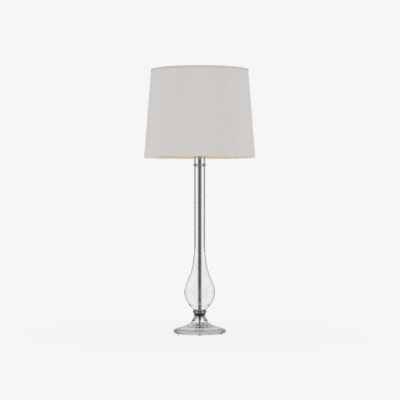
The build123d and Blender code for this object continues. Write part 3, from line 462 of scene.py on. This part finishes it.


# Glass tones with painted shade: metres above the table, and the colour there. The grey and
# near-black stops paint the dark bands and lines that refraction throws in the rim, the flanks,
# the rings and the neck; the pale stops are the clear glass.
FOOT_FACE_SHADE = [
    (0.0, "#FAFBFB"), (0.006, "#F8F9F9"), (0.008, "#DCDFDF"), (0.010, "#A9ACAC"),
    (0.015, "#A9ACAC"), (0.018, "#DCDFDF"), (0.026, "#F4F5F5"), (0.034, "#FFFFFF"),
    (0.044, "#FDFDFD"), (0.050, "#F2F3F3"), (0.065, "#FFFFFF"),
]
FOOT_EDGE_SHADE = [
    (0.0, "#D8DBDB"), (0.008, "#8A8D8D"), (0.014, "#8A8D8D"), (0.018, "#E4E6E6"),
    (0.036, "#F0F1F1"), (0.041, "#1A1B1B"), (0.055, "#1A1B1B"), (0.065, "#1C1D1D"),
]
BODY_BODY = [
    (0.065, "#FFFFFF"), (0.078, "#FFFFFF"), (0.09, "#FAFBFB"), (0.22, "#FAFBFB"),
    (0.27, "#FFFFFF"), (0.6, "#FFFFFF"),
]
BODY_EDGE_SHADE = [
    (0.065, "#161717"), (0.0722, "#1C1D1D"), (0.0738, "#F4F5F5"), (0.09, "#F0F1F1"),
    (0.19, "#F0F1F1"), (0.24, "#C4C7C7"), (0.28, "#242525"), (0.6, "#242525"),
]
FOOT_RING_SHADE = [(0.0, "#000000"), (0.050, "#000000"), (0.056, "#A8A8A8"), (0.065, "#B8B8B8")]
BODY_RING_SHADE = [
    (0.0, "#FFFFFF"), (0.072, "#FFFFFF"), (0.0735, "#000000"), (0.5328, "#000000"),
    (0.5334, "#D8D8D8"), (0.5412, "#D8D8D8"), (0.5418, "#000000"), (0.6, "#000000"),
]


# --- Operators --------------------------------------------------------------------------------
class LAMP_OT_glass(bpy.types.Operator):
    """Dresses the foot, the body and the clear gaskets."""

    bl_idname = "lamp.glass"
    bl_label = "Glass"

    def execute(self, context):
        # painted shade: the tone tables give the foot and the body their dark bands, edges and
        # ring ends
        foot = blown_glass("blown_glass_of_the_foot_painted_shade", FOOT_FACE_SHADE, FOOT_EDGE_SHADE, FOOT_RING_SHADE, 0.00002)
        body = blown_glass("blown_glass_of_the_body_painted_shade", BODY_BODY, BODY_EDGE_SHADE, BODY_RING_SHADE)
        dress_smooth(foot, "glass_foot")
        dress_smooth(body, "glass_body")
        pad = plain_plastic("clear_silicone", "#D2D4D4", 0.35)
        dress(pad, "bumper_feet", "foot_gasket", "neck_gasket", "cord_tie")
        dress(plain_plastic("smoky_silicone", "#4C4E4E", 0.35), "cord_grommet")
        return {"FINISHED"}


class LAMP_OT_stem(bpy.types.Operator):
    """Dresses the stem, the nuts and the harp."""

    bl_idname = "lamp.stem"
    bl_label = "Stem and harp"

    def execute(self, context):
        nickel = bright_metal("polished_nickel", "#BDBAB4", 0.09, grain=0.02)
        dress_smooth(
            nickel, "column_tube", "harp", "ferrule_right",
            "ferrule_left", "finial", "socket_cap", "socket_shell", "waist_bushing",
        )
        dress(nickel, "steel_washer", "check_nut", "harp_saddle")
        dress_smooth(bright_metal("satin_nickel", "#D2CFC8", 0.42), "neck_cap")
        # painted shade: the cone nut's nickel is coloured dark for the shade it sits in inside the
        # foot
        dress_smooth(bright_metal("nickel_painted_dark_for_shade", "#62615F", 0.18), "cone_nut")
        zinc = bright_metal("zinc_plated_steel", "#A9ABAB", 0.3, 0.2)
        dress(
            zinc, "threaded_pipe", "socket_set_screw", "switch_shaft", "harp_stud",
            "bulb_contact",
        )
        dress(plain_plastic("black_rubber", "#1A1A1A", 0.7), "rubber_washer")
        return {"FINISHED"}


class LAMP_OT_socket(bpy.types.Operator):
    """Dresses the socket's inner pieces and the bulb, and cuts the bulb's thread."""

    bl_idname = "lamp.socket"
    bl_label = "Socket and bulb"

    def execute(self, context):
        brass = bright_metal("pressed_brass", "#C9A862", 0.25)
        dress(brass, "screw_shell", "centre_contact", "terminal_screws")
        dress(bright_metal("nickel_plated_brass", "#C6C4BE", 0.24), "plug_blades")
        dress(plain_plastic("vulcan_fibre", "#5B4634", 0.75, lumps=0.0001), "socket_liner")
        black = plain_plastic("black_phenolic", "#17171A", 0.28, coat=0.4)
        dress(black, "socket_core", "key_knob", "bulb_insulator")
        dress(plain_plastic("lead_insulation", "#BEBEBA", 0.4), "socket_leads", "stem_cord")
        dress(frosted_glass(), "bulb_glass")
        # painted shade: the mount glass's rim colour greys its skimmed edges
        face, rim = ([(0.0, code), (1.0, code)] for code in ("#FDFDFD", "#E4E6E6"))
        dress(blown_glass("bulb_mount_glass", face, rim, wave=0.0), "bulb_stem")
        base = self.threaded_base(context.scene.lamp.thread_pitch)
        finish(base, bright_metal("nickel_plated_shell", "#B9B9B4", 0.22))
        return {"FINISHED"}

    def threaded_base(self, pitch):
        """The shell's radius follows a cosine of height less angle, which makes a thread.

        The profile goes up the outside and down the inside as one closed loop. Its radius drops by
        up to the thread's depth, faded to nothing near both ends.
        """
        low, high = (corner[2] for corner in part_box("bulb_base"))
        rise = np.linspace(0, 1, 90)
        height = low + 0.003 + rise * (high - low - 0.003)
        outside = np.full(90, 0.013)
        radius = np.concatenate([[0.0100, 0.0106], outside, outside[::-1] - 0.0004, [0.0100]])
        level = np.concatenate([[low, low], height, height[::-1], [low + 0.0006]])
        fade = np.clip(np.minimum(rise * 9, (1 - rise) * 5), 0, 1)
        fade = np.concatenate([[0, 0], fade, fade[::-1], [0]])
        angle = np.linspace(0, 2 * np.pi, 96, endpoint=False)
        phase = 2 * np.pi * (level[:, None] - low) / pitch - angle[None, :]
        depth = 0.0011 * fade[:, None] * (0.5 + 0.5 * np.cos(phase)) + 0.0001
        reach = radius[:, None] - depth * (radius[:, None] > 0.0107)
        level = np.broadcast_to(level[:, None], reach.shape)
        points = np.stack([reach * np.cos(angle), reach * np.sin(angle), level], -1)
        piece = grid("bulb_threaded_base", points, True, True)
        stand_for(piece, "bulb_base")
        return piece


class LAMP_OT_shade(bpy.types.Operator):
    """Dresses the shade and lays the overlap of the cloth down its back."""

    bl_idname = "lamp.shade"
    bl_label = "Shade"

    def execute(self, context):
        light = context.scene.lamp.cloth
        linen = woven_linen("natural_linen", light, "#C1BCB8")
        dress(linen, "shade_cloth")
        hem = woven_linen("linen_hem_on_tape", light, "#C1BCB8", turned_in="#FBEFDD")
        dress(hem, "shade_bottom_trim")
        # painted shade: the top band's linen is coloured darker for the edge shading of cloth seen
        # at a slant
        band = woven_linen("linen_band_painted_darker_for_shade", "#D3CFCC", "#B5B1AD", turned_in="#FBEFDD")
        dress(band, "shade_top_trim")
        dress(warm_lining(), "shade_lining")
        wire = plain_plastic("white_enamelled_wire", "#DAD6CC", 0.3, coat=0.5)
        dress(wire, "shade_spider", "shade_bottom_ring")
        finish(self.overlap(), linen)
        return {"FINISHED"}

    def overlap(self):
        """A strip whose width is spread over a small angle at the back, on the cone's slope.

        Its section is a loop of eight places round a flat lozenge, so its edges fade into the
        cloth; the loop is carried straight up the slope between the two trims.
        """
        low, high = (corner[2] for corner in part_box("shade_cloth"))
        height = np.linspace(low + 0.0068, high - 0.0068, 24)
        share = (height - low) / (high - low)
        outer = CLOTH_LOW_RADIUS + share * (CLOTH_HIGH_RADIUS - CLOTH_LOW_RADIUS)
        sideways = np.array([-1.0, -0.85, 0.0, 0.85, 1.0, 0.85, 0.0, -0.85]) * 0.006
        proud = np.array([0.0, 0.35, 0.38, 0.35, 0.0, -0.3, -0.3, -0.3]) * 0.001
        reach = outer[:, None] + proud[None, :]
        angle = np.pi / 2 + sideways[None, :] / outer[:, None]
        level = np.broadcast_to(height[:, None], reach.shape)
        points = np.stack([reach * np.cos(angle), reach * np.sin(angle), level], -1)
        piece = grid("shade_overlap", points, False, True)
        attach(piece, "shade")
        return piece


# The cord's places in millimetres: out of the nut to the coil, and from the coil to the plug
RUN = [
    (0, 0, 46.0), (0, 0, 37.0), (0, -1.6, 29.9), (0.2, -2.6, 24.2), (2.5, 0.1, 19.6),
    (6.1, 4.9, 19.3), (8.6, 8.0, 23.4), (9.7, 8.7, 28.6), (12.2, 7.8, 33.0), (16.6, 5.9, 34.4),
    (20.8, 4.0, 32.5), (23.8, 3.1, 28.3), (26.8, 3.6, 24.1), (29.9, 6.6, 20.2), (32.3, 13.0, 16.8),
    (33.2, 22.6, 13.8), (31.8, 34.6, 11.2), (28.8, 46.6, 8.8), (26.0, 57.4, 7.2),
    (26.98, 65.13, 5.5), (31.19, 75.30, 4.3), (35.40, 85.46, 3.3), (40.4, 96.6, 2.9),
    (44.5, 108.0, 3.0), (46.2, 120.1, 3.55), (46.2, 130.9, 3.55),
]
TAIL = [
    (-40.1, 130.9, 9.65), (-40.1, 125.4, 9.65), (-39.2, 119.3, 11.05), (-36.5, 113.7, 13.25),
    (-31.9, 109.3, 15.45), (-26.3, 106.5, 17.25), (-20.5, 105.5, 18.25), (-14.5, 105.5, 18.25),
]
COIL_MIDDLE = (0.0, 136.5)
COIL_RADIUS = 46.2
COIL_PITCH = 6.1
COIL_LAYER = 6.1
COIL_LEVEL = 3.55


def coil_points(in_turns=8, out_turns=6, places=8):
    """Half circles that shrink by half a pitch each, climb a layer, and grow out again.

    Each half circle has eight places, half a step in from its ends and set out by the cosine of
    half a step, so that the curve through them keeps the circle's radius.
    """
    step = np.pi / places
    angle = (np.arange(places) + 0.5) * step
    radii = [COIL_RADIUS - k * COIL_PITCH / 2 for k in range(in_turns + 1)]
    radii += [radii[-1] + (k + 1) * COIL_PITCH / 2 for k in range(out_turns)]
    x, y = COIL_MIDDLE[0] + COIL_RADIUS, COIL_MIDDLE[1]
    level, side, points = COIL_LEVEL, 1, []
    for k, radius in enumerate(radii):
        middle = x - side * radius
        turn = angle + (0 if side == 1 else np.pi)
        reach = radius / np.cos(step / 2)
        climb = COIL_LAYER * (0.5 - 0.5 * np.cos(angle)) if k == in_turns else 0 * angle
        points.append(
            np.stack([middle + reach * np.cos(turn), y + reach * np.sin(turn), level + climb], -1)
        )
        level += COIL_LAYER if k == in_turns else 0
        x -= side * 2 * radius
        side = -side
    return np.vstack(points)


class LAMP_OT_cord(bpy.types.Operator):
    """Lays the cord: out of the cone nut, under the rim, into its stored coil and to the plug."""

    bl_idname = "lamp.cord"
    bl_label = "Cord and plug"

    def execute(self, context):
        settings = context.scene.lamp
        points = np.vstack([RUN, coil_points(), TAIL]) / 1000
        curve = bpy.data.curves.new("cord", "CURVE")
        curve.dimensions = "3D"
        curve.bevel_depth = settings.cord_diameter / 2
        curve.bevel_resolution = 5
        curve.resolution_u = 5
        curve.use_fill_caps = True
        line = curve.splines.new("NURBS")
        line.points.add(len(points) - 1)
        line.points.foreach_set("co", np.column_stack([points, np.ones(len(points))]).ravel())
        line.order_u = 3
        line.use_endpoint_u = True
        cord = bpy.data.objects.new("cord", curve)
        context.scene.collection.objects.link(cord)
        finish(cord, silver_cord())
        stand_for(cord, "cord_run", "cord_coil", "cord_tail")
        plug = plain_plastic("silver_plug", "#B9B9B6", 0.3, coat=0.3)
        dress_smooth(plug, "plug_body")
        return {"FINISHED"}


class LAMP_OT_studio(bpy.types.Operator):
    """Sets the table, the pale surround, the lamps and the camera."""

    bl_idname = "lamp.studio"
    bl_label = "Studio"

    def execute(self, context):
        settings = context.scene.lamp
        self.table(settings.backdrop)
        self.surround(context, settings.backdrop)
        for name, where, size, power in (
            ("left_softbox", (-2.36, -1.53, 0.62), 1.2, 31.0),
            ("right_softbox", (2.4, -1.48, 0.62), 1.2, 29.0),
            ("back_softbox", (0.5, 2.7, 1.1), 1.4, 22.0),
            ("top_softbox", (0.2, -0.3, 3.0), 1.8, 16.0),
        ):
            self.softbox(context, name, where, size, power)
        camera = bpy.data.cameras.new("camera")
        camera.sensor_width = 36
        camera.lens = 125
        camera.shift_x = 0.0008
        camera.shift_y = -0.01
        eye = bpy.data.objects.new("camera", camera)
        eye.location = (0, -settings.eye_distance, settings.eye_height)
        eye.rotation_euler = (np.pi / 2, 0, 0)
        context.scene.collection.objects.link(eye)
        context.scene.camera = eye
        context.scene.view_settings.view_transform = "Standard"
        return {"FINISHED"}

    def surround_colour(self, tree, backdrop, toward_front):
        """What a ray that leaves the lamp finds: pale, or dim where glass or metal sends it.

        Straight through glass it stays pale. Off metal it turns dim towards the front, and where
        glass throws it back inside itself it meets the dark edge of the studio.
        """
        path = add(tree, "ShaderNodeLightPath").outputs
        thrown = maths(tree, "GREATER_THAN", path["Glossy Depth"], 0.5)
        crossed = maths(tree, "GREATER_THAN", path["Transmission Depth"], 0.5)
        shallow = maths(tree, "LESS_THAN", path["Transmission Depth"], 3.5)
        inside = maths(tree, "MULTIPLY", maths(tree, "MULTIPLY", thrown, crossed), shallow)
        dim = maths(tree, "MULTIPLY", thrown, toward_front)
        pale = blend(tree, dim, hue(backdrop), hue("#6C6D6E"))
        return blend(tree, inside, pale, hue("#A6A9A9")), path

    def table(self, backdrop):
        """A square in the plane of the table; only near the lamp does it take a real shadow."""
        half = 6.0
        steps = np.linspace(-half, half, 3)
        across, along = np.meshgrid(steps, steps, indexing="ij")
        points = np.stack([across, along, np.zeros_like(across)], -1)
        floor = grid("table", points, False, False)
        material, tree, output = new_material("pale_table")
        spots = add(tree, "ShaderNodeSeparateXYZ", {0: place(tree)}).outputs
        # painted shade in reflections: glossy rays find the table dim in front of the lamp and
        # right under its foot
        front = ramp(tree, maths(tree, "MULTIPLY", spots["Y"], -1.0), 0.3, 1.2)
        spot = add(tree, "ShaderNodeVectorMath", {0: place(tree)}, operation="LENGTH")
        under = ramp(tree, spot.outputs["Value"], 0.02, 0.05, 1.0, 0.0)
        colour, path = self.surround_colour(tree, backdrop, maths(tree, "MAXIMUM", front, under))
        seen = maths(tree, "MAXIMUM", path["Is Camera Ray"], path["Is Glossy Ray"])
        seen = maths(tree, "MAXIMUM", seen, path["Is Transmission Ray"])
        own = ramp(tree, spot.outputs["Value"], 0.15, 0.9, 0.88, 1.0)
        glow = add(tree, "ShaderNodeEmission", {"Color": colour})
        matt = add(tree, "ShaderNodeBsdfDiffuse", {"Color": hue(backdrop)})
        mixed = add(
            tree, "ShaderNodeMixShader",
            {0: maths(tree, "MULTIPLY", seen, own), 1: matt.outputs[0], 2: glow.outputs[0]},
        )
        tree.links.new(mixed.outputs[0], output.inputs["Surface"])
        finish(floor, material)

    def surround(self, context, backdrop):
        """Pale for the camera, softer for the light that it sheds on the lamp."""
        world = bpy.data.worlds.new("studio")
        context.scene.world = world
        world.use_nodes = True
        tree = world.node_tree
        tree.nodes.clear()
        way = parts_of(tree, "Generated")
        front = ramp(tree, maths(tree, "MULTIPLY", way["Y"], -1.0), 0.0, 0.65)
        colour, path = self.surround_colour(tree, backdrop, front)
        seen = add(tree, "ShaderNodeBackground", {"Color": colour, "Strength": 1.0})
        soft = add(tree, "ShaderNodeBackground", {"Color": hue("#F4F6F8"), "Strength": 0.48})
        mixed = add(
            tree, "ShaderNodeMixShader",
            {0: path["Is Diffuse Ray"], 1: seen.outputs[0], 2: soft.outputs[0]},
        )
        final = add(tree, "ShaderNodeOutputWorld")
        tree.links.new(mixed.outputs[0], final.inputs["Surface"])

    def softbox(self, context, name, where, size, power):
        """Square lamp aimed at the middle of the lamp's height."""
        light = bpy.data.lights.new(name, "AREA")
        light.shape = "SQUARE"
        light.size = size
        light.energy = power
        lamp = bpy.data.objects.new(name, light)
        lamp.location = where
        away = np.array([0, 0, 0.5]) - np.array(where)
        yaw = np.arctan2(away[0], -away[1])
        pitch = np.arctan2(-away[2], np.hypot(away[0], away[1]))
        lamp.rotation_euler = (np.pi / 2 - pitch, 0, np.pi + yaw)
        lamp.visible_glossy = False
        lamp.visible_transmission = False
        context.scene.collection.objects.link(lamp)


class LAMP_PT_panel(bpy.types.Panel):
    """Lists the settings and the makers."""

    bl_idname = "LAMP_PT_panel"
    bl_label = "Candlestick lamp"
    bl_space_type = "VIEW_3D"
    bl_region_type = "UI"
    bl_category = "Lamp"

    def draw(self, context):
        for name in LampSettings.__annotations__:
            self.layout.prop(context.scene.lamp, name)
        for maker in MAKERS:
            self.layout.operator(maker.bl_idname)


MAKERS = (LAMP_OT_glass, LAMP_OT_stem, LAMP_OT_socket, LAMP_OT_shade, LAMP_OT_cord, LAMP_OT_studio)
CLASSES = (LampSettings, *MAKERS, LAMP_PT_panel)


def register():
    """Adds the classes and the scene's settings."""
    for kind in CLASSES:
        bpy.utils.register_class(kind)
    bpy.types.Scene.lamp = bpy.props.PointerProperty(type=LampSettings)


def unregister():
    """Takes them away again."""
    del bpy.types.Scene.lamp
    for kind in reversed(CLASSES):
        bpy.utils.unregister_class(kind)


def main():
    """Makes every piece in order."""
    register()
    bpy.ops.lamp.glass()
    bpy.ops.lamp.stem()
    bpy.ops.lamp.socket()
    bpy.ops.lamp.shade()
    bpy.ops.lamp.cord()
    bpy.ops.lamp.studio()
    bpy.context.view_layer.update()


if __name__ == "__main__":
    main()
